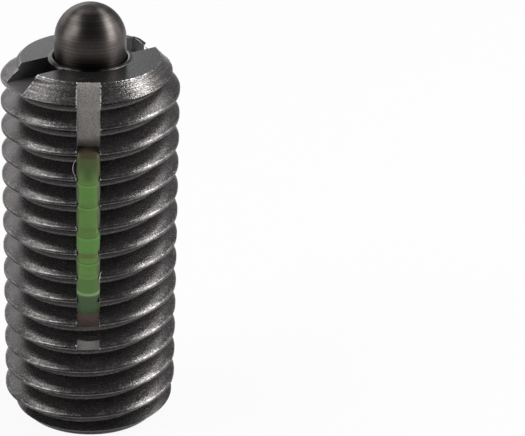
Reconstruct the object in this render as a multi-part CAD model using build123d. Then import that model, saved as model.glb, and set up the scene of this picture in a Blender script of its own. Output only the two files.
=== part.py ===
from build123d import *
import math
import os

# Spring plunger, M10 x 1.5, with a sprung nose pin and a thread-locking strip. Millimetres.
# The rear end face lies on z = 0, the axis of the thread is Z and the nose points up.

# Threaded body
body_length = 22.0
thread_diameter = 10.0
thread_pitch = 1.5
thread_start = 1.425  # height of a groove bottom on the +X side
front_chamfer = 1.1
rear_chamfer = 1.0
nose_wall = 2.5  # length of the guide hole that the nose pin runs in
guide_edge_break = 0.12
guide_mouth_chamfer = 0.25

# Slot for a driver, across the nose end
slot_width = 1.95
slot_depth = 0.95
slot_angle = 34.0  # degrees from X, seen from the nose end
slot_offset = 0.25  # its middle passes the axis on the side away from the strip

# Milled groove that holds the locking strip, on the -Y side
groove_width = 1.26
groove_under_root = 0.03  # the groove floor lies this far below the thread's root
groove_cutter_radius = 2.9
groove_floor_top_gap = 13.9  # from the nose end down to where the flat floor ends

# Locking strip pressed into the groove
strip_length = 10.25
strip_proud = 0.2  # how far it stands above the thread's crests
strip_side_play = 0.01
strip_head_chamfer = 0.3
strip_foot_length = 1.7  # its foot slopes back from the face over this length
strip_foot_height = 0.3  # what the slope leaves standing on the groove floor
strip_foot_round = 0.55

# Nose pin
nose_diameter = 4.0
nose_straight = 1.1  # straight part that stands out of the body, below the dome
nose_play = 0.03  # radial
collar_length = 1.5
collar_play = 0.05  # radial
spigot_diameter = 2.8
spigot_length = 4.0
pin_chamfer = 0.25

# Closing screw, M6 x 1, set into the rear end
screw_diameter = 6.0
screw_pitch = 1.0
screw_length = 5.0
screw_recess = 0.6
screw_start = 0.2
screw_thread_play = 0.05
screw_chamfer = 0.65
tapped_spare = 1.0  # full thread past the screw's inner end
tapped_mouth_chamfer = 0.4
socket_across_flats = 3.0
socket_depth = 2.2
socket_mouth_chamfer = 0.1
socket_drill_angle = 118.0

# Compression spring
wire_diameter = 0.65
spring_play = 0.15  # radial, in the bore
active_turns = 6
closed_turn_gap = 0.007
spring_blend = 0.5  # turns over which the pitch opens or closes
spring_steps_per_turn = 12
spring_end_ground = 0.1  # height of the wire's centre line above its seat at each end

# Metric thread form: 60 degree flanks, depth and flats as shares of the pitch
flank_slope = math.tan(math.radians(30))
external_depth_share = 17 / 24 * math.sqrt(3) / 2
external_root_share = 1 / 6
internal_root_share = 1 / 8
cut_past = 0.1  # how far a cutter reaches past the surface that it enters

# Worked out
thread_radius = thread_diameter / 2
thread_root_radius = thread_radius - external_depth_share * thread_pitch
groove_floor_radius = thread_root_radius - groove_under_root
bore_radius = (screw_diameter - screw_pitch) / 2  # also the tapping drill for the closing screw
shoulder_height = body_length - nose_wall
nose_radius = nose_diameter / 2
collar_radius = bore_radius - collar_play
collar_rear = shoulder_height - collar_length
screw_radius = screw_diameter / 2
screw_end = screw_recess + screw_length
strip_bottom = body_length - groove_floor_top_gap
spring_radius = bore_radius - spring_play - wire_diameter / 2


def turned(points):
    """A solid turned about Z from its outline, given as (radius, height) points."""
    return revolve(make_face(Plane.XZ * Polyline(*points, close=True)), Axis.Z)


def thread_cutter(tip_radius, tip_width, mouth_radius, pitch, start, low, high):
    """A helical ridge with 60 degree flanks, reaching from below low to above high."""
    half_tip = tip_width / 2
    half_mouth = half_tip + abs(mouth_radius - tip_radius) * flank_slope
    corners = [
        (tip_radius, half_tip),
        (mouth_radius, half_mouth),
        (mouth_radius, -half_mouth),
        (tip_radius, -half_tip),
    ]
    turns_below = math.ceil((start - low) / pitch) + 1
    turns_above = math.ceil((high - start) / pitch)
    base = start - turns_below * pitch
    turns = turns_below + turns_above
    faces = []
    for turn in range(turns):
        height = base + turn * pitch
        edges = [Helix(pitch, pitch, r, (0, 0, height + z)).edge() for r, z in corners]
        for edge, following in zip(edges, edges[1:] + edges[:1]):
            faces.append(Face.make_surface_from_curves(edge, following))
    for height in (base, base + turns * pitch):
        points = [(r, 0, height + z) for r, z in corners]
        faces.append(Face(Wire.make_polygon(points, close=True)))
    return Solid(Shell(faces))


def body_thread_cutter():
    """The groove between the body's thread crests."""
    return thread_cutter(
        thread_root_radius,
        external_root_share * thread_pitch,
        thread_radius + cut_past,
        thread_pitch,
        thread_start,
        0,
        body_length,
    )


def tapped_hole_cutter():
    """The M6 thread cut into the rear of the bore, for the closing screw."""
    tapped_end = screw_end + tapped_spare
    return thread_cutter(
        screw_radius + screw_thread_play,
        internal_root_share * screw_pitch,
        bore_radius - cut_past,
        screw_pitch,
        screw_start + screw_pitch / 2,
        0,
        tapped_end - screw_pitch,
    )


def driver_slot():
    """The straight slot across the nose end."""
    across = 2 * thread_diameter
    block = Box(across, slot_width, 2 * slot_depth)
    return Pos(0, 0, body_length) * Rot(0, 0, slot_angle) * Pos(0, slot_offset, 0) * block


def strip_groove():
    """The milled groove, open at the nose end, with the cutter's run-out at its foot."""
    reach = thread_radius + cut_past
    centre_y = groove_floor_radius + groove_cutter_radius
    arc_drop = math.sqrt(groove_cutter_radius**2 - (centre_y - reach) ** 2)
    arc_turn = math.atan2(arc_drop, centre_y - reach) / 2
    arc_middle = (
        -centre_y + groove_cutter_radius * math.cos(arc_turn),
        strip_bottom - groove_cutter_radius * math.sin(arc_turn),
    )
    floor_foot = (-groove_floor_radius, strip_bottom)
    floor_top = (-groove_floor_radius, body_length + cut_past)
    outer_top = (-reach, body_length + cut_past)
    outer_foot = (-reach, strip_bottom - arc_drop)
    outline = Polyline(floor_foot, floor_top, outer_top, outer_foot)
    run_out = ThreePointArc(outer_foot, arc_middle, floor_foot)
    return extrude(make_face(Plane.YZ * (outline + run_out)), groove_width / 2, both=True)


def threaded_body():
    """The M10 sleeve: bore from the rear, guide hole for the nose pin, thread and slots."""
    guide_radius = nose_radius + nose_play
    tapped_mouth = screw_radius + tapped_mouth_chamfer
    sleeve = turned(
        [
            (tapped_mouth, 0),
            (thread_radius - rear_chamfer, 0),
            (thread_radius, rear_chamfer),
            (thread_radius, body_length - front_chamfer),
            (thread_radius - front_chamfer, body_length),
            (guide_radius + guide_mouth_chamfer, body_length),
            (guide_radius, body_length - guide_mouth_chamfer),
            (guide_radius, shoulder_height + guide_edge_break),
            (guide_radius + guide_edge_break, shoulder_height),
            (bore_radius, shoulder_height),
            (bore_radius, tapped_mouth - bore_radius),
        ]
    )
    body = sleeve - body_thread_cutter()
    body = body - tapped_hole_cutter()
    body = body - driver_slot()
    return body - strip_groove()


def thrust_pin():
    """The nose pin: a domed nose, a collar that stops on the shoulder, a spigot for the spring."""
    dome_base = body_length + nose_straight
    dome_middle = (
        nose_radius * math.sin(math.radians(45)),
        dome_base + nose_radius * math.cos(math.radians(45)),
    )
    spigot_radius = spigot_diameter / 2
    spigot_end = collar_rear - spigot_length
    outline = Polyline(
        (0, dome_base + nose_radius),
        (0, spigot_end),
        (spigot_radius - pin_chamfer, spigot_end),
        (spigot_radius, spigot_end + pin_chamfer),
        (spigot_radius, collar_rear),
        (collar_radius - pin_chamfer, collar_rear),
        (collar_radius, collar_rear + pin_chamfer),
        (collar_radius, shoulder_height - guide_edge_break),
        (collar_radius - guide_edge_break, shoulder_height),
        (nose_radius, shoulder_height),
        (nose_radius, dome_base),
    )
    dome = ThreePointArc((nose_radius, dome_base), dome_middle, (0, dome_base + nose_radius))
    return revolve(make_face(Plane.XZ * (outline + dome)), Axis.Z)


def spring_rise(turn):
    """Height of the wire's centre line above its foot, after so many turns."""
    closed_pitch = wire_diameter + closed_turn_gap
    turns = active_turns + 2
    height = collar_rear - screw_end - 2 * spring_end_ground
    opening = (height - closed_pitch * turns) / (active_turns - spring_blend)
    rise = closed_pitch * turn
    started = min(max(turn - 1, 0), spring_blend)
    rise += opening * started**2 / (2 * spring_blend)
    rise += opening * min(max(turn - 1 - spring_blend, 0), active_turns - 2 * spring_blend)
    closing = min(max(turn - (turns - 1 - spring_blend), 0), spring_blend)
    return rise + opening * (closing - closing**2 / (2 * spring_blend))


def compression_spring():
    """A round wire spring with closed and ground ends, between the closing screw and the collar."""
    foot = screw_end + spring_end_ground
    points = []
    for step in range((active_turns + 2) * spring_steps_per_turn + 1):
        turn = step / spring_steps_per_turn
        angle = math.radians(360 * turn)
        across = spring_radius * math.cos(angle)
        along = spring_radius * math.sin(angle)
        points.append((across, along, foot + spring_rise(turn)))
    path = Wire(Spline(*points).edge())
    section = Plane(path @ 0, z_dir=path % 0) * Circle(wire_diameter / 2)
    coil = sweep(section, path=path, is_frenet=True)
    seats = Cylinder(
        thread_radius,
        collar_rear - screw_end,
        align=(Align.CENTER, Align.CENTER, Align.MIN),
    )
    return coil & (Pos(0, 0, screw_end) * seats)


def closing_screw():
    """The M6 set screw with a hexagon socket that closes the bore and carries the spring."""
    crest_radius = screw_radius - screw_thread_play
    corner_radius = socket_across_flats / math.sqrt(3)
    drill_radius = socket_across_flats / 2
    drill_point = drill_radius / math.tan(math.radians(socket_drill_angle / 2))
    floor = screw_recess + socket_depth
    blank = turned(
        [
            (0, screw_recess),
            (crest_radius - screw_chamfer, screw_recess),
            (crest_radius, screw_recess + screw_chamfer),
            (crest_radius, screw_end - screw_chamfer),
            (crest_radius - screw_chamfer, screw_end),
            (0, screw_end),
        ]
    )
    thread = thread_cutter(
        screw_radius - external_depth_share * screw_pitch,
        external_root_share * screw_pitch,
        screw_radius + cut_past / 2,
        screw_pitch,
        screw_start,
        screw_recess,
        screw_end,
    )
    socket = Pos(0, 0, screw_recess) * extrude(
        RegularPolygon(corner_radius, 6, rotation=30), socket_depth
    )
    drilled = turned([(0, floor), (drill_radius, floor), (0, floor + drill_point)])
    mouth = turned(
        [
            (0, screw_recess),
            (corner_radius + socket_mouth_chamfer, screw_recess),
            (0, screw_recess + corner_radius + socket_mouth_chamfer),
        ]
    )
    return blank - thread - (socket + mouth + drilled)


def locking_strip():
    """The polyamide strip on the groove floor, cut square at its head and sloped at its foot."""
    head = strip_bottom + strip_length
    face_radius = thread_radius + strip_proud
    outline = Polyline(
        (-groove_floor_radius, strip_bottom),
        (-groove_floor_radius - strip_foot_height, strip_bottom),
        (-face_radius, strip_bottom + strip_foot_length),
        (-face_radius, head - strip_head_chamfer),
        (-face_radius + strip_head_chamfer, head),
        (-groove_floor_radius, head),
        close=True,
    )
    half_width = groove_width / 2 - strip_side_play
    bar = extrude(make_face(Plane.YZ * outline), half_width, both=True)
    foot_edges = bar.edges().filter_by(Axis.Y).group_by(Axis.Z)[0]
    crown = Cylinder(face_radius, 3 * body_length)
    return fillet(foot_edges, strip_foot_round) & crown


nodes = {
    "threaded_body": threaded_body(),
    "thrust_pin": thrust_pin(),
    "compression_spring": compression_spring(),
    "closing_screw": closing_screw(),
    "locking_strip": locking_strip(),
}

os.makedirs("parts", exist_ok=True)
for name, solid in nodes.items():
    export_step(solid, f"parts/{name}.step")
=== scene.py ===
import math
import random
import bpy
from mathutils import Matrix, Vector


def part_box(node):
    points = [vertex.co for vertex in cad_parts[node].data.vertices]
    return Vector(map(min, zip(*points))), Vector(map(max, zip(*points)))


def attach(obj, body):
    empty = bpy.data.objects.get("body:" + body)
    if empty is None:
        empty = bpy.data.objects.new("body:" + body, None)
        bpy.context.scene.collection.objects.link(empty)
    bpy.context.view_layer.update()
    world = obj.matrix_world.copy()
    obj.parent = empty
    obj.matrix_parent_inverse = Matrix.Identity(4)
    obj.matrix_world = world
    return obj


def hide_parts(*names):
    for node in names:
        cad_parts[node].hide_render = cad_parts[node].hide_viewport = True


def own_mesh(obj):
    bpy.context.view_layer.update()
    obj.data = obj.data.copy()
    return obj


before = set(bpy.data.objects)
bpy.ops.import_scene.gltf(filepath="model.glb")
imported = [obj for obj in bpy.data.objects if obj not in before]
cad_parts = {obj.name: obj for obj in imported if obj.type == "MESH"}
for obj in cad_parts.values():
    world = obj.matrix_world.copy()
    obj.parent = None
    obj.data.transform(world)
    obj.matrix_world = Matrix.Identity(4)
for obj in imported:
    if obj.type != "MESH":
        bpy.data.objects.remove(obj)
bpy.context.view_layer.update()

scene = bpy.context.scene
scene.view_settings.view_transform = "Standard"

# Studio. The plunger stands on a white sweep in a dim room. A soft box and two cards on the
# right draw the broad highlights down the thread, weaker ones on the left and behind fill the
# other flanks and the end face. The side around the camera stays dark.


class Value:
    """One output in a node tree, which takes ordinary sums."""

    def __init__(self, wiring, socket):
        self.wiring = wiring
        self.socket = socket

    def sum(self, operation, *terms):
        return self.wiring.node("ShaderNodeMath", {"operation": operation}, dict(enumerate(terms)))

    def __add__(self, other):
        return self.sum("ADD", self, other)

    def __radd__(self, other):
        return self.sum("ADD", other, self)

    def __sub__(self, other):
        return self.sum("SUBTRACT", self, other)

    def __rsub__(self, other):
        return self.sum("SUBTRACT", other, self)

    def __mul__(self, other):
        return self.sum("MULTIPLY", self, other)

    def __rmul__(self, other):
        return self.sum("MULTIPLY", other, self)

    def __truediv__(self, other):
        return self.sum("DIVIDE", self, other)

    def __pow__(self, other):
        return self.sum("POWER", self, other)

    def __abs__(self):
        return self.sum("ABSOLUTE", self)


class Wiring:
    """A node tree and the one way in which its nodes are made."""

    def __init__(self, tree):
        self.tree = tree

    def fill(self, node, sockets):
        for key, given in sockets.items():
            if isinstance(given, Value):
                self.tree.links.new(given.socket, node.inputs[key])
            else:
                node.inputs[key].default_value = given

    def node(self, kind, settings, sockets, output=0):
        node = self.tree.nodes.new(kind)
        for name, setting in settings.items():
            setattr(node, name, setting)
        self.fill(node, sockets)
        return Value(self, node.outputs[output])

    def mix(self, share, first, second):
        sockets = {0: share, 6: first, 7: second}
        return self.node("ShaderNodeMix", {"data_type": "RGBA"}, sockets, 2)

    def step(self, value, low, high):
        settings = {"interpolation_type": "SMOOTHSTEP"}
        return self.node("ShaderNodeMapRange", settings, {0: value, 1: low, 2: high})

    def noise(self, place, scale, detail=2.0):
        sockets = {"Vector": place, "Scale": scale, "Detail": detail}
        return self.node("ShaderNodeTexNoise", {}, sockets)


camera_data = bpy.data.cameras.new("camera")
camera_data.sensor_width = 36
camera_data.lens = 144.9
camera_data.shift_x = 0.3284
camera_data.shift_y = 0.0003
camera_data.clip_start = 0.005
camera_data.clip_end = 5
camera = bpy.data.objects.new("camera", camera_data)
scene.collection.objects.link(camera)
look_at = Vector((0, 0, 0.01205))
elevation = math.radians(25.9)
azimuth = math.radians(1.25)
distance = 0.12126
camera.location = look_at + distance * Vector((
    math.sin(azimuth) * math.cos(elevation),
    -math.cos(azimuth) * math.cos(elevation),
    math.sin(elevation),
))
camera.rotation_euler = (look_at - camera.location).to_track_quat("-Z", "Y").to_euler()
camera.rotation_euler.rotate_axis("Z", math.radians(0.1))
scene.camera = camera


def soft_box(name, toward, reach, width, height, power):
    data = bpy.data.lights.new(name, "AREA")
    data.shape = "RECTANGLE"
    data.size = width
    data.size_y = height
    data.energy = power
    lamp = bpy.data.objects.new(name, data)
    lamp.location = look_at + reach * Vector(toward).normalized()
    lamp.rotation_euler = (look_at - lamp.location).to_track_quat("-Z", "Y").to_euler()
    scene.collection.objects.link(lamp)


soft_box("right_box", (0.770, -0.010, 0.640), 0.2, 0.075, 0.070, 0.175)
soft_box("right_card", (0.930, -0.220, 0.270), 0.2, 0.100, 0.080, 0.16)
soft_box("right_back_card", (0.887, 0.358, 0.290), 0.2, 0.070, 0.080, 0.035)
soft_box("right_high_box", (0.520, 0.400, 0.755), 0.2, 0.070, 0.070, 0.055)
soft_box("back_high_box", (-0.100, 0.450, 0.890), 0.2, 0.080, 0.070, 0.02)
soft_box("left_high_box", (-0.600, 0.180, 0.780), 0.2, 0.080, 0.080, 0.075)
soft_box("left_box", (-0.730, -0.370, 0.570), 0.2, 0.090, 0.080, 0.11)
soft_box("left_card", (-0.951, -0.168, 0.260), 0.2, 0.100, 0.080, 0.08)
soft_box("back_card", (-0.450, 0.820, 0.350), 0.2, 0.220, 0.090, 0.065)

room = bpy.data.worlds.new("room")
room.use_nodes = True
scene.world = room
air = Wiring(room.node_tree)
toward = air.node("ShaderNodeTexCoord", {}, {}, 0)
back = air.node("ShaderNodeSeparateXYZ", {}, {0: toward}, 1)
up = air.node("ShaderNodeSeparateXYZ", {}, {0: toward}, 2)
seen = air.node("ShaderNodeLightPath", {}, {}, 0)
far_side = air.step(back, -0.1, 0.75) * (1 - air.step(up, 0.45, 0.9))
wall = air.mix(far_side, (0.06, 0.06, 0.063, 1), (0.25, 0.25, 0.255, 1))
air.fill(room.node_tree.nodes["Background"], {"Color": air.mix(seen, wall, (1, 1, 1, 1))})

floor_mesh = bpy.data.meshes.new("floor")
floor_mesh.from_pydata([(-1, -1, 0), (1, -1, 0), (1, 1, 0), (-1, 1, 0)], [], [(0, 1, 2, 3)])
floor = bpy.data.objects.new("floor", floor_mesh)
scene.collection.objects.link(floor)
white_sweep = bpy.data.materials.new("white_sweep")
white_sweep.use_nodes = True
sweep = Wiring(white_sweep.node_tree)
seen = sweep.node("ShaderNodeLightPath", {}, {}, 0)
mirrored = sweep.node("ShaderNodeLightPath", {}, {}, 3)
paper = sweep.node("ShaderNodeBsdfDiffuse", {}, {"Color": (0.8, 0.8, 0.8, 1)})
glow = sweep.node("ShaderNodeEmission", {}, {"Color": (1, 1, 1, 1)})
lit = sweep.node("ShaderNodeMixShader", {}, {0: 0.92 * seen + 0.12 * mirrored, 1: paper, 2: glow})
sweep.fill(white_sweep.node_tree.nodes["Material Output"], {"Surface": lit})
floor_mesh.materials.append(white_sweep)

# Threaded body. A steel sleeve turned from bar, with a rolled M10 thread, a milled groove for
# the strip and a sawn driver slot, then blackened. The oxide is rubbed through to grey on the
# edges of the crests, and the thread's lower flanks are painted near black as painted shade.


def plunger_finish(name):
    """A new finish, with its wiring, its shader and its places on the piece in millimetres."""
    finish = bpy.data.materials.new(name)
    finish.use_nodes = True
    steel = Wiring(finish.node_tree)
    shader = finish.node_tree.nodes["Principled BSDF"]
    local = steel.node("ShaderNodeTexCoord", {}, {}, 3)
    place = steel.node("ShaderNodeVectorMath", {"operation": "SCALE"}, {0: local, "Scale": 1000.0})
    x, y, z = (steel.node("ShaderNodeSeparateXYZ", {}, {0: place}, axis) for axis in range(3))
    return finish, steel, shader, place, x, y, z


def dress(node_name, finish):
    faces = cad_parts[node_name].data
    faces.materials.clear()
    faces.materials.append(finish)


def lathe_lines(steel, place, radius, z, fineness):
    """Fine lines left by turning, which run round the axis and fade in and out."""
    across = steel.node("ShaderNodeCombineXYZ", {}, {0: radius * fineness, 1: z * fineness})
    drift = steel.node("ShaderNodeVectorMath", {"operation": "ADD"}, {0: across, 1: place})
    return steel.noise(drift, 1.0, 3.0)


body_length = 22.0
thread_pitch = 1.5
crest_height = 2.175  # height of a crest's middle on the +X side
crest_flat = 0.094  # half the width of a crest
top_radius = 3.9  # where the nose end's face meets the chamfer
chamfer_low = 20.92
groove_side = 0.63
groove_bottom = 8.3  # just above the end of the groove's flat floor
slot_turn = math.radians(34)
slot_middle = 0.25
slot_side = 0.975
slot_floor = 21.05

black, steel, shader, place, x, y, z = plunger_finish("blackened_steel_body")
radius = (x * x + y * y) ** 0.5
turn = steel.node("ShaderNodeMath", {"operation": "ARCTAN2"}, {0: y, 1: x}) / (2 * math.pi)
lead = (z - crest_height) / thread_pitch - turn + 20.5
from_crest = (lead.sum("FRACT", lead) - 0.5) * thread_pitch
grain = steel.noise(place, 9.0, 3.0)
pits = steel.noise(place, 17.0, 2.0)
patch = steel.noise(place, 1.1, 3.0)
lines = lathe_lines(steel, place, radius, z, 12.0)
specks = steel.step(grain, 0.50, 0.66)
rubbed = steel.step(steel.noise(place, 3.0, 4.0), 0.40, 0.62)

# Where the thread's crests, their edges and their shoulders lie, and the chamfer and end face.
thread = 1 - steel.step(z, 20.8, 20.95)
upper = steel.step(from_crest, 0.02, 0.10) * thread
underside_shade = steel.step(from_crest * -1, 0.07, 0.12) * thread
crest_edge = 1 - steel.step(abs(abs(from_crest) - crest_flat), 0.015, 0.05)
crest_edge = crest_edge * steel.step(radius, 4.90, 4.96)
shoulder = steel.step(radius, 4.45, 4.95) * upper
top_face = steel.step(z, body_length - 0.015, body_length - 0.005)
top_rim = 1 - steel.step(abs(radius - top_radius), 0.015, 0.06)
top_rim = top_rim * steel.step(z, body_length - 0.1, body_length - 0.04)
slant = top_radius + body_length  # radius and height add up to this on the chamfer
chamfer = (1 - thread) * steel.step(radius + z, slant - 0.1, slant - 0.02) * (1 - top_face)
chamfer_foot = 1 - steel.step(abs(z - chamfer_low), 0.02, 0.08)
chamfer_foot = chamfer_foot * steel.step(radius, 4.88, 4.94)

# The sawn slot and its rims.
across_slot = abs(y * math.cos(slot_turn) - x * math.sin(slot_turn) - slot_middle)
in_slot = 1 - steel.step(across_slot, slot_side + 0.001, slot_side + 0.006)
in_slot = in_slot * steel.step(z, slot_floor - 0.15, slot_floor - 0.03)
in_slot = in_slot * steel.step(radius, 2.05, 2.1)
slot_rim = 1 - steel.step(abs(across_slot - slot_side - 0.02), 0.0, 0.05)
slot_rim = slot_rim * steel.step(z, slot_floor - 0.15, slot_floor - 0.05) * (1 - in_slot)

# The milled groove: its floor, the low cut below the strip, the crest that the cutter just
# touched, and the rims.
front = 1 - steel.step(y, -3.9, -3.8)
in_groove = (1 - steel.step(abs(x), groove_side + 0.001, groove_side + 0.006)) * front
above = steel.step(z, groove_bottom - 0.05, groove_bottom + 0.05)
floor_cut = in_groove * above
low_cut = in_groove * steel.step(z, 7.0, 7.1) * (1 - above)
touched = in_groove * steel.step(z, 5.85, 5.95) * (1 - steel.step(z, 6.72, 6.78))
touched = touched * steel.step(radius, 4.5, 4.56) * (1 - steel.step(radius, 4.96, 4.985))
groove_rim = 1 - steel.step(abs(abs(x) - groove_side - 0.02), 0.0, 0.045)
groove_rim = groove_rim * front * steel.step(radius, 4.75, 4.95) * steel.step(z, 5.8, 6.0)

# The oxide, from painted shade that darkens it on the lower flanks to bare grey steel on the
# edges.
oxide = steel.mix(patch, (0.062, 0.058, 0.058, 1), (0.105, 0.098, 0.096, 1))
oxide = steel.mix(steel.step(grain, 0.44, 0.62) * 0.22, oxide, (0.235, 0.225, 0.22, 1))
# The thread's lower flanks are painted near black: painted shade.
oxide = steel.mix(underside_shade * 0.8, oxide, (0.022, 0.021, 0.021, 1))
grey = (0.40, 0.385, 0.37, 1)
oxide = steel.mix(specks * (0.06 + 0.50 * shoulder * rubbed + 0.25 * chamfer), oxide, grey)
oxide = steel.mix(steel.step(lines, 0.45, 0.62) * chamfer * 0.25, oxide, grey)
oxide = steel.mix(crest_edge * (0.05 + 0.45 * rubbed), oxide, grey)
edges = (1.6 * top_rim + chamfer_foot + 1.4 * slot_rim + groove_rim) * (0.15 + 0.9 * specks)
oxide = steel.mix(steel.step(edges, 0.0, 1.2), oxide, (0.66, 0.64, 0.62, 1))
oxide = steel.mix(top_face * 0.8, oxide, (0.060, 0.058, 0.057, 1))
# In the slot the steel is painted lighter on its shaded left part and darker on its lit right
# part: painted light and painted shade.
slot_painted_light = steel.mix(steel.step(x, 0.5, 2.5), (0.150, 0.143, 0.143, 1), (0.040, 0.038, 0.037, 1))
oxide = steel.mix(in_slot * 0.85, oxide, slot_painted_light)
milled = steel.mix(steel.step(pits, 0.36, 0.60), (0.22, 0.205, 0.195, 1), (0.46, 0.435, 0.42, 1))
oxide = steel.mix(floor_cut, oxide, milled)
oxide = steel.mix(low_cut, oxide, (0.085, 0.062, 0.055, 1))
oxide = steel.mix(touched, oxide, steel.mix(pits, (0.15, 0.14, 0.135, 1), (0.45, 0.43, 0.42, 1)))
scratch = 1 - steel.step(abs((y + 3.30) - 0.4 * (x + 0.35)), 0.008, 0.035)
scratch = scratch * (1 - steel.step(abs(x + 0.35), 0.18, 0.26)) * top_face
oxide = steel.mix(scratch * 0.6, oxide, (0.55, 0.53, 0.51, 1))
roughness = 0.17 + 0.12 * pits + 0.06 * lines + 0.10 * in_slot + 0.25 * floor_cut + 0.25 * touched

# Rolling left the crests rounded, which the relief adds in millimetres.
brow = steel.node("ShaderNodeClamp", {}, {0: 0.267 - from_crest, 1: 0.0, 2: 0.173})
crown = steel.node("ShaderNodeClamp", {}, {0: from_crest + crest_flat, 1: 0.0, 2: 2 * crest_flat})
notched = in_groove * steel.step(z, 5.8, 5.95)
rounding = (1.5 * brow * brow + 2.2 * crown * crown) * thread * (1 - notched)
relief = 0.012 * grain + 0.005 * pits + 0.007 * lines * (0.3 + chamfer) - rounding
raised = steel.node("ShaderNodeBump", {}, {"Distance": 0.001, "Height": relief})
steel.fill(shader, {
    "Base Color": oxide,
    "Metallic": 0.82 - 0.5 * in_slot - 0.5 * touched - 0.35 * floor_cut,
    "Roughness": roughness,
    "Normal": raised,
})
dress("threaded_body", black)

# Nose pin. Turned from hardened steel with a domed end and blackened, it slides in the
# body's guide hole. The turning tool left fine rings round it, deepest near its foot.

black, steel, shader, place, x, y, z = plunger_finish("blackened_steel_pin")
radius = (x * x + y * y) ** 0.5
rings = lathe_lines(steel, place, radius, z, 16.0)
height = steel.node("ShaderNodeCombineXYZ", {}, {2: z})
bands = steel.noise(height, 6.0, 3.0)
fine = steel.noise(height, 26.0, 2.0)
foot = 1 - steel.step(z, 22.1, 23.0)
tint = steel.mix(steel.noise(place, 0.8, 2.0), (0.068, 0.058, 0.053, 1), (0.098, 0.088, 0.083, 1))
tint = steel.mix(steel.step(bands, 0.40, 0.66) * 0.40, tint, (0.19, 0.175, 0.168, 1))
tint = steel.mix(steel.step(fine, 0.52, 0.60) * 0.5, tint, (0.045, 0.040, 0.038, 1))
tint = steel.mix(foot * steel.step(bands, 0.43, 0.50) * 0.9, tint, (0.016, 0.014, 0.014, 1))
tint = steel.mix(foot * (1 - steel.step(bands, 0.38, 0.44)) * 0.5, tint, (0.24, 0.22, 0.21, 1))
relief = bands * 0.7 + fine * 0.5 + rings * 0.4
raised = steel.node("ShaderNodeBump", {}, {"Strength": 0.5, "Distance": 0.00001, "Height": relief})
steel.fill(shader, {
    "Base Color": tint,
    "Metallic": 1.0,
    "Roughness": 0.26 + 0.16 * bands + 0.08 * rings,
    "Normal": raised,
    "Anisotropic": 0.6,
    "Anisotropic Rotation": 0.25,
})
dress("thrust_pin", black)

# Guide lip. Peening the mouth of the guide hole closed it round the pin and left a low polished
# lip there. It also stands as a thin wall across the inner ends of the driver slot.

lip_line = [(2.05, 21.02), (2.05, 21.97), (2.08, 22.03), (2.14, 22.055), (2.22, 22.045)]
lip_line += [(2.31, 22.015), (2.38, 21.97), (2.40, 21.90), (2.40, 21.02)]
lip_sides = 160
points = []
faces = []
for step in range(lip_sides):
    bearing = 2 * math.pi * step / lip_sides
    ahead = (step + 1) % lip_sides
    for out, height in lip_line:
        spot = (out * math.cos(bearing), out * math.sin(bearing), height)
        points.append(tuple(along / 1000 for along in spot))
    for corner in range(len(lip_line)):
        following = (corner + 1) % len(lip_line)
        faces.append((
            step * len(lip_line) + corner,
            step * len(lip_line) + following,
            ahead * len(lip_line) + following,
            ahead * len(lip_line) + corner,
        ))
lip_mesh = bpy.data.meshes.new("guide_lip")
lip_mesh.from_pydata(points, [], faces)
lip_mesh.shade_smooth()
lip = bpy.data.objects.new("guide_lip", lip_mesh)
scene.collection.objects.link(lip)

peened, steel, shader, place, x, y, z = plunger_finish("peened_steel_lip")
worn = steel.noise(place, 3.0, 2.0)
tint = steel.mix(steel.step(worn, 0.40, 0.65), (0.12, 0.114, 0.11, 1), (0.22, 0.21, 0.20, 1))
# The lip is painted dark across its middle and darker at its far left, as painted reflection of
# the dark room, which leaves two light crescents at its sides.
tint = steel.mix(1 - steel.step(abs(x - 0.05), 0.35, 0.80), tint, (0.022, 0.020, 0.020, 1))
tint = steel.mix(1 - steel.step(x, -1.75, -1.25), tint, (0.050, 0.047, 0.046, 1))
raised = steel.node("ShaderNodeBump", {}, {"Distance": 0.001, "Height": 0.002 * worn})
steel.fill(shader, {
    "Base Color": tint,
    "Metallic": 0.9,
    "Roughness": 0.14 + 0.1 * worn,
    "Normal": raised,
})
lip_mesh.materials.append(peened)
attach(lip, "body")

# Closing screw. A plain M6 set screw with a hexagon socket, blackened like the body, that
# closes the rear of the bore and carries the spring.

black, steel, shader, place, x, y, z = plunger_finish("blackened_steel_screw")
radius = (x * x + y * y) ** 0.5
grain = steel.noise(place, 8.0, 3.0)
rings = lathe_lines(steel, place, radius, z, 14.0)
tint = steel.mix(grain, (0.05, 0.047, 0.045, 1), (0.12, 0.115, 0.11, 1))
worn = 1 - steel.step(abs(radius - 1.75), 0.02, 0.12)
tint = steel.mix(worn * steel.step(grain, 0.45, 0.6) * 0.7, tint, (0.4, 0.385, 0.37, 1))
relief = grain * 0.5 + rings * 0.5
raised = steel.node("ShaderNodeBump", {}, {"Strength": 0.3, "Distance": 0.00001, "Height": relief})
steel.fill(shader, {
    "Base Color": tint,
    "Metallic": 1.0,
    "Roughness": 0.28 + 0.2 * grain,
    "Normal": raised,
})
dress("closing_screw", black)

# Compression spring. Round spring wire wound cold, with one closed turn at each end that is
# ground flat. It stands on the closing screw and pushes the pin's collar to its shoulder.

wire = 0.65
coil_radius = 2.025
open_turns = 6
easing = 0.5  # turns over which the coil opens or closes
closed_pitch = wire + 0.007
seat_low = 5.6  # inner end of the closing screw
seat_high = 18.0  # rear of the pin's collar
ground = 0.1  # height of the wire's middle over its seat
steps_per_turn = 40

turns = open_turns + 2
opening = (seat_high - seat_low - 2 * ground - closed_pitch * turns) / (open_turns - easing)


def coil_height(turn):
    started = min(max(turn - 1, 0), easing)
    ended = min(max(turn - (turns - 1 - easing), 0), easing)
    running = min(max(turn - 1 - easing, 0), open_turns - 2 * easing)
    share = started**2 / (2 * easing) + running + ended - ended**2 / (2 * easing)
    return seat_low + ground + closed_pitch * turn + opening * share


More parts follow.
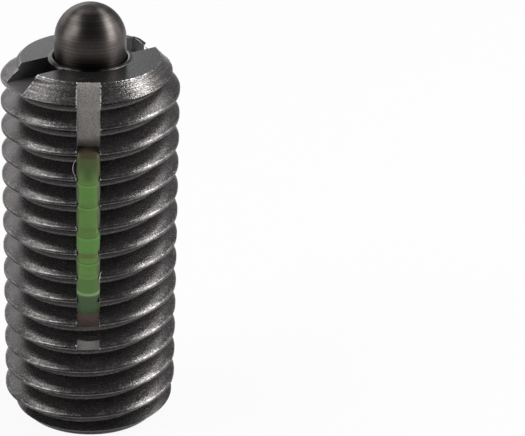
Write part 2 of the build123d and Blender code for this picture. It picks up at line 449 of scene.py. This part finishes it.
line = []
for step in range(steps_per_turn * turns + 1):
    bearing = 2 * math.pi * step / steps_per_turn
    across = (coil_radius * math.cos(bearing), coil_radius * math.sin(bearing))
    line.append(Vector((*across, coil_height(step / steps_per_turn))) / 1000)
spring_mesh = bpy.data.meshes.new("spring_line")
spring_mesh.from_pydata(line, [(step, step + 1) for step in range(len(line) - 1)], [])
spring = bpy.data.objects.new("spring", spring_mesh)
scene.collection.objects.link(spring)

bright, steel, shader, place, x, y, z = plunger_finish("spring_steel")
drawn = steel.noise(place, 6.0, 3.0)
tint = steel.mix(drawn, (0.30, 0.29, 0.275, 1), (0.46, 0.45, 0.43, 1))
raised = steel.node("ShaderNodeBump", {}, {"Distance": 0.001, "Height": 0.002 * drawn})
steel.fill(shader, {
    "Base Color": tint,
    "Metallic": 1.0,
    "Roughness": 0.22 + 0.2 * drawn,
    "Normal": raised,
})

winding = bpy.data.node_groups.new("spring_winding", "GeometryNodeTree")
winding_inputs = {"Geometry": "Geometry", "Wire Radius": "Float", "Finish": "Material"}
for name, kind in winding_inputs.items():
    winding.interface.new_socket(name, in_out="INPUT", socket_type="NodeSocket" + kind)
winding.interface.new_socket("Geometry", in_out="OUTPUT", socket_type="NodeSocketGeometry")
coil = Wiring(winding)
given = winding.nodes.new("NodeGroupInput")
line, thickness, metal = (Value(coil, given.outputs[index]) for index in range(3))
ring = coil.node("GeometryNodeCurvePrimitiveCircle", {}, {"Resolution": 18, "Radius": thickness})
path = coil.node("GeometryNodeMeshToCurve", {}, {"Mesh": line})
tube = coil.node("GeometryNodeCurveToMesh", {}, {
    "Curve": path,
    "Profile Curve": ring,
    "Fill Caps": True,
})
tube = coil.node("GeometryNodeRealizeInstances", {}, {0: tube})
tube = coil.node("GeometryNodeSetMaterial", {}, {0: tube, "Material": metal})
ending = winding.nodes.new("NodeGroupOutput")
coil.fill(ending, {0: tube})


def made_plain(piece, tree, values):
    """Gives a piece the tree's result as a plain mesh."""
    maker = piece.modifiers.new("maker", "NODES")
    maker.node_group = tree
    for item in tree.interface.items_tree:
        if item.in_out == "INPUT" and item.name in values:
            maker[item.identifier] = values[item.name]
    bpy.context.view_layer.update()
    result = piece.evaluated_get(bpy.context.evaluated_depsgraph_get())
    result = bpy.data.meshes.new_from_object(result)
    piece.modifiers.clear()
    piece.data = result


made_plain(spring, winding, {"Wire Radius": wire / 2000, "Finish": bright})
for corner in spring.data.vertices:
    corner.co.z = min(max(corner.co.z, seat_low / 1000), seat_high / 1000)  # ground flat
spring.data.shade_smooth()
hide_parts("compression_spring")
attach(spring, "body")
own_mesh(spring)

# Locking strip. A bar of green polyamide pressed into the groove and then cut by the thread's
# crests, which leave it waisted at each crest and swollen between them. Its head is cut
# square, and its foot slopes down to a round end on the groove's floor.

strip_low, strip_high = (corner[2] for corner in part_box("locking_strip"))
strip_seat = 0.00405  # from the axis to the strip's back
strip_face = 0.0052  # from the axis to its front
swollen = 0.000652  # half its width between two crests
waisted = 0.000575  # half its width at a crest
waist_reach = 0.00024
crest_on_strip = 0.0033
foot_face = 0.00432
foot_length = 0.00172
foot_round = 0.00058
ridge_height = 0.00178  # a fine ridge that was raised where the foot's slope ends
head_slope = 0.00022
strip_rings = 300
section = [(1, 0), (1, 0.3), (1, 0.6), (0.985, 0.78), (0.94, 0.90), (0.86, 0.96), (0.70, 0.99)]
section += [(0.45, 1), (0.22, 1)]
section += [(0, 1)] + [(-u, v) for u, v in reversed(section)]


def near_crest(height):
    """How near a height lies to the middle of a crest, from 0 to 1."""
    steps = (height - crest_on_strip) / (thread_pitch / 1000)
    return math.exp(-(((steps - round(steps)) * (thread_pitch / 1000) / waist_reach) ** 2))


def strip_loop(height):
    """The outline of the strip's cross section at one height."""
    pinch = near_crest(height) if height < 0.0178 else 0
    narrowing = max(min((height - 0.0172) / 0.0005, 1), 0)
    half = swollen - (swollen - waisted) * pinch - 0.00003 * narrowing
    rise = height - strip_low
    if rise < foot_round:
        half *= math.sqrt(1 - (1 - rise / foot_round) ** 2) * 0.97 + 0.03
    face = strip_face - 0.000035 * pinch
    slope = min(max(rise / foot_length, 0), 1)
    face = min(face, foot_face + (strip_face - foot_face) * slope ** 0.75)
    ridge = math.exp(-(((rise - ridge_height) / 0.00007) ** 2))
    face = min(face + 0.00003 * ridge, strip_face)
    head = strip_high - height
    face -= max(head_slope - head, 0) * 0.9
    loop = []
    for u, v in section:
        across = u * half
        depth = strip_seat + v * (face - strip_seat)
        depth -= (face - math.sqrt(face**2 - across**2)) * v
        loop.append((across, -depth, height))
    return loop


strip_length = strip_high - strip_low
heights = [strip_low + strip_length * step / strip_rings for step in range(strip_rings + 1)]
points = [corner for height in heights for corner in strip_loop(height)]
count = len(section)
faces = []
for ring in range(strip_rings):
    for side in range(count):
        following = (side + 1) % count
        faces.append((
            ring * count + side,
            (ring + 1) * count + side,
            (ring + 1) * count + following,
            ring * count + following,
        ))
faces.append(tuple(range(count)))
faces.append(tuple(strip_rings * count + side for side in reversed(range(count))))
strip_mesh = bpy.data.meshes.new("polyamide_strip")
strip_mesh.from_pydata(points, [], faces)
strip_mesh.shade_smooth()
strip = bpy.data.objects.new("polyamide_strip", strip_mesh)
scene.collection.objects.link(strip)

green, plastic, shader, place, x, y, z = plunger_finish("green_polyamide")
from_middle = abs(x)
cloud = plastic.noise(place, 1.8, 3.0)
drag = plastic.node("ShaderNodeCombineXYZ", {}, {0: x * 1.5, 2: z * 9.0})
streaks = plastic.noise(drag, 1.0, 3.0)
sag = z - 0.40 * x * x
beat = (z - 1000 * crest_on_strip) / thread_pitch + 0.5
off_crest = abs(beat.sum("FRACT", beat) - 0.5) * thread_pitch
pinched = 1 - plastic.step(off_crest, 0.02, 0.26)


def band(low, high, soft):
    """A stretch of the strip between two heights, with its ends curved like the cutter."""
    return plastic.step(sag, low - soft, low) * (1 - plastic.step(sag, high, high + soft))


tint = plastic.mix(cloud, (0.078, 0.200, 0.027, 1), (0.145, 0.330, 0.056, 1))
tint = plastic.mix(plastic.step(streaks, 0.40, 0.66) * 0.30, tint, (0.15, 0.27, 0.075, 1))
tint = plastic.mix(pinched * 0.25, tint, (0.085, 0.135, 0.032, 1))
# The strip's curved sides are painted darker: painted shade.
tint = plastic.mix(plastic.step(from_middle, 0.42, 0.58) * 0.9, tint, (0.050, 0.060, 0.032, 1))
tint = plastic.mix(band(13.35, 13.85, 0.10) * 0.45, tint, (0.105, 0.165, 0.022, 1))
tint = plastic.mix(band(12.50, 13.25, 0.10) * 0.35, tint, (0.110, 0.340, 0.060, 1))
tint = plastic.mix(band(12.08, 12.30, 0.06) * 0.65, tint, (0.125, 0.115, 0.030, 1))
tint = plastic.mix(band(9.95, 10.75, 0.12) * 0.50, tint, (0.065, 0.150, 0.034, 1))
for nick in (16.50, 15.13, 13.30, 11.72, 10.98, 10.86):
    tint = plastic.mix(band(nick, nick + 0.03, 0.03) * 0.55, tint, (0.050, 0.105, 0.018, 1))
    tint = plastic.mix(band(nick - 0.10, nick - 0.05, 0.04) * 0.35, tint, (0.24, 0.42, 0.14, 1))
low_end = 1 - plastic.step(sag, 9.60, 9.72)
tint = plastic.mix(low_end * 0.85, tint, (0.032, 0.068, 0.024, 1))
tint = plastic.mix(band(9.76, 9.86, 0.05) * 0.60, tint, (0.34, 0.46, 0.25, 1))
high_end = plastic.step(z, 16.4, 17.9)
tint = plastic.mix(high_end * 0.85, tint, (0.058, 0.064, 0.011, 1))
dark_heart = band(17.0, 17.4, 0.4) * (1 - plastic.step(from_middle, 0.02, 0.40))
tint = plastic.mix(dark_heart * 0.75, tint, (0.045, 0.095, 0.018, 1))
tint = plastic.mix(plastic.step(z, 18.05, 18.2) * 0.9, tint, (0.062, 0.046, 0.024, 1))
relief = 0.010 * streaks + 0.012 * cloud
raised = plastic.node("ShaderNodeBump", {}, {"Distance": 0.001, "Height": relief})
plastic.fill(shader, {
    "Base Color": tint,
    "Roughness": 0.42 + 0.2 * streaks,
    "Normal": raised,
})
strip_mesh.materials.append(green)
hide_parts("locking_strip")
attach(strip, "body")

# Burrs. Where the cutter crossed the crests and where the slot crossed the chamfer it threw up
# small bright shards and a few curled hairs of steel, which were never brushed off.

bare = bpy.data.materials.new("bare_burr")
bare.use_nodes = True
steel = Wiring(bare.node_tree)
local = steel.node("ShaderNodeTexCoord", {}, {}, 3)
tint = steel.mix(steel.noise(local, 20000.0, 2.0), (0.42, 0.40, 0.385, 1), (0.80, 0.78, 0.75, 1))
shader = bare.node_tree.nodes["Principled BSDF"]
steel.fill(shader, {"Base Color": tint, "Metallic": 0.5, "Roughness": 0.42})

scatter = bpy.data.node_groups.new("burr_scatter", "GeometryNodeTree")
burr_inputs = {"Geometry": "Geometry", "Length": "Float", "Seed": "Int", "Metal": "Material"}
for name, kind in burr_inputs.items():
    scatter.interface.new_socket(name, in_out="INPUT", socket_type="NodeSocket" + kind)
scatter.interface.new_socket("Geometry", in_out="OUTPUT", socket_type="NodeSocketGeometry")
burrs = Wiring(scatter)
given = scatter.nodes.new("NodeGroupInput")
roots, length, seed, metal = (Value(burrs, given.outputs[index]) for index in range(4))
shard = burrs.node("GeometryNodeMeshIcoSphere", {}, {"Radius": 0.5, "Subdivisions": 1})
size = burrs.node("FunctionNodeRandomValue", {"data_type": "FLOAT_VECTOR"}, {
    0: (0.25, 0.25, 0.5),
    1: (0.7, 0.6, 1.5),
    "Seed": seed,
})
size = burrs.node("ShaderNodeVectorMath", {"operation": "SCALE"}, {0: size, "Scale": length})
lean = burrs.node("FunctionNodeRandomValue", {"data_type": "FLOAT_VECTOR"}, {
    0: (-0.9, -0.9, -3.0),
    1: (0.9, 0.9, 3.0),
    "Seed": seed,
})
placed = burrs.node("GeometryNodeInstanceOnPoints", {}, {
    "Points": roots,
    "Instance": shard,
    "Rotation": lean,
    "Scale": size,
})
solid = burrs.node("GeometryNodeRealizeInstances", {}, {0: placed})
solid = burrs.node("GeometryNodeSetMaterial", {}, {0: solid, "Material": metal})
ending = scatter.nodes.new("NodeGroupOutput")
burrs.fill(ending, {0: solid})


def scattered(name, roots, length, seed):
    """Shards on the given roots, made a plain mesh that rides on the body."""
    mesh = bpy.data.meshes.new(name + "_roots")
    mesh.from_pydata(roots, [], [])
    piece = bpy.data.objects.new(name, mesh)
    scene.collection.objects.link(piece)
    made_plain(piece, scatter, {"Length": length, "Seed": seed, "Metal": bare})
    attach(piece, "body")


chance = random.Random(5)
roots = []
for crest in range(2, 13):
    height = crest_on_strip + thread_pitch / 1000 * crest
    for side in (-1, 1):
        for _ in range(chance.randint(2, 5)):
            across = side * (0.00064 + chance.uniform(0, 0.00004))
            rise = chance.uniform(-0.00012, 0.00014)
            out = 0.00494 + chance.uniform(-0.00006, 0.00003)
            roots.append((across, -out, height + rise))
for side in (-1, 1):
    for _ in range(16):
        drop = chance.uniform(0, 0.0011)
        across = side * (0.00064 + chance.uniform(0, 0.00002))
        roots.append((across, -(0.0039 + drop), 0.022 - drop))
for _ in range(30):
    along = chance.choice((-1, 1)) * chance.uniform(0, 0.0006)
    roots.append((along, -0.00388, 0.02198))
scattered("groove_burrs", roots, 0.00011, 3)



def along_slot(reach, aside, height):
    """A place given by how far it lies along the slot and to its side, in metres."""
    spot_x = reach * math.cos(slot_turn) - aside * math.sin(slot_turn)
    spot_y = reach * math.sin(slot_turn) + aside * math.cos(slot_turn)
    return spot_x / 1000, spot_y / 1000, height / 1000


roots = []
for wall in (slot_middle - slot_side, slot_middle + slot_side):
    for _ in range(70):
        reach = chance.uniform(3.82, 4.85)
        height = min(body_length, body_length - (math.hypot(reach, wall) - top_radius))
        for end in (-1, 1):
            if chance.random() < 0.35:
                roots.append(along_slot(end * reach, wall, height - 0.01))
scattered("slot_burrs", roots, 0.00009, 8)


def hair(name, bends, thickness):
    """One curled hair of steel along the given bends, in millimetres like its thickness."""
    data = bpy.data.curves.new(name, "CURVE")
    data.dimensions = "3D"
    data.bevel_depth = thickness / 2000
    data.bevel_resolution = 2
    data.use_fill_caps = True
    line = data.splines.new("NURBS")
    line.points.add(len(bends) - 1)
    for point, bend in zip(line.points, bends):
        point.co = (bend[0] / 1000, bend[1] / 1000, bend[2] / 1000, 1)
    line.order_u = 3
    line.use_endpoint_u = True
    line.resolution_u = 8
    made = bpy.data.objects.new(name + "_line", data)
    scene.collection.objects.link(made)
    bpy.context.view_layer.update()
    result = made.evaluated_get(bpy.context.evaluated_depsgraph_get())
    tube = bpy.data.meshes.new_from_object(result)
    bpy.data.objects.remove(made)
    piece = bpy.data.objects.new(name, tube)
    scene.collection.objects.link(piece)
    tube.materials.clear()
    tube.materials.append(bare)
    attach(piece, "body")


hair("left_hair", [(-0.66, -4.96, 17.95), (-0.76, -5.0, 17.85), (-0.85, -5.02, 17.5),
                   (-0.80, -5.0, 17.15), (-0.68, -4.9, 16.95)], 0.032)
hair("right_hair", [(0.74, -5.0, 11.20), (0.68, -5.1, 11.08), (0.63, -5.15, 10.9),
                    (0.62, -5.15, 10.75), (0.66, -5.05, 10.55)], 0.03)

# Slot wedge. The saw pushed a small wedge of the body's own steel out at the far right end of
# the slot's back wall. It stands on the slot's floor and leans out over the chamfer.

wall = slot_middle + slot_side
wedge_depth = 0.14
outline = [(3.60, 21.85), (3.76, 21.99), (4.15, 21.80), (4.56, 21.45), (4.42, 21.30)]
outline += [(4.42, 20.93), (3.60, 20.93)]
points = []
for depth in (0.0, wedge_depth):
    points += [along_slot(reach, wall + depth, height) for reach, height in outline]
count = len(outline)
faces = [tuple(range(count)), tuple(reversed(range(count, 2 * count)))]
for corner in range(count):
    following = (corner + 1) % count
    faces.append((corner, count + corner, count + following, following))
wedge_mesh = bpy.data.meshes.new("slot_wedge")
wedge_mesh.from_pydata(points, [], faces)
wedge = bpy.data.objects.new("slot_wedge", wedge_mesh)
scene.collection.objects.link(wedge)
wedge_mesh.materials.append(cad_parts["threaded_body"].data.materials[0])
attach(wedge, "body")
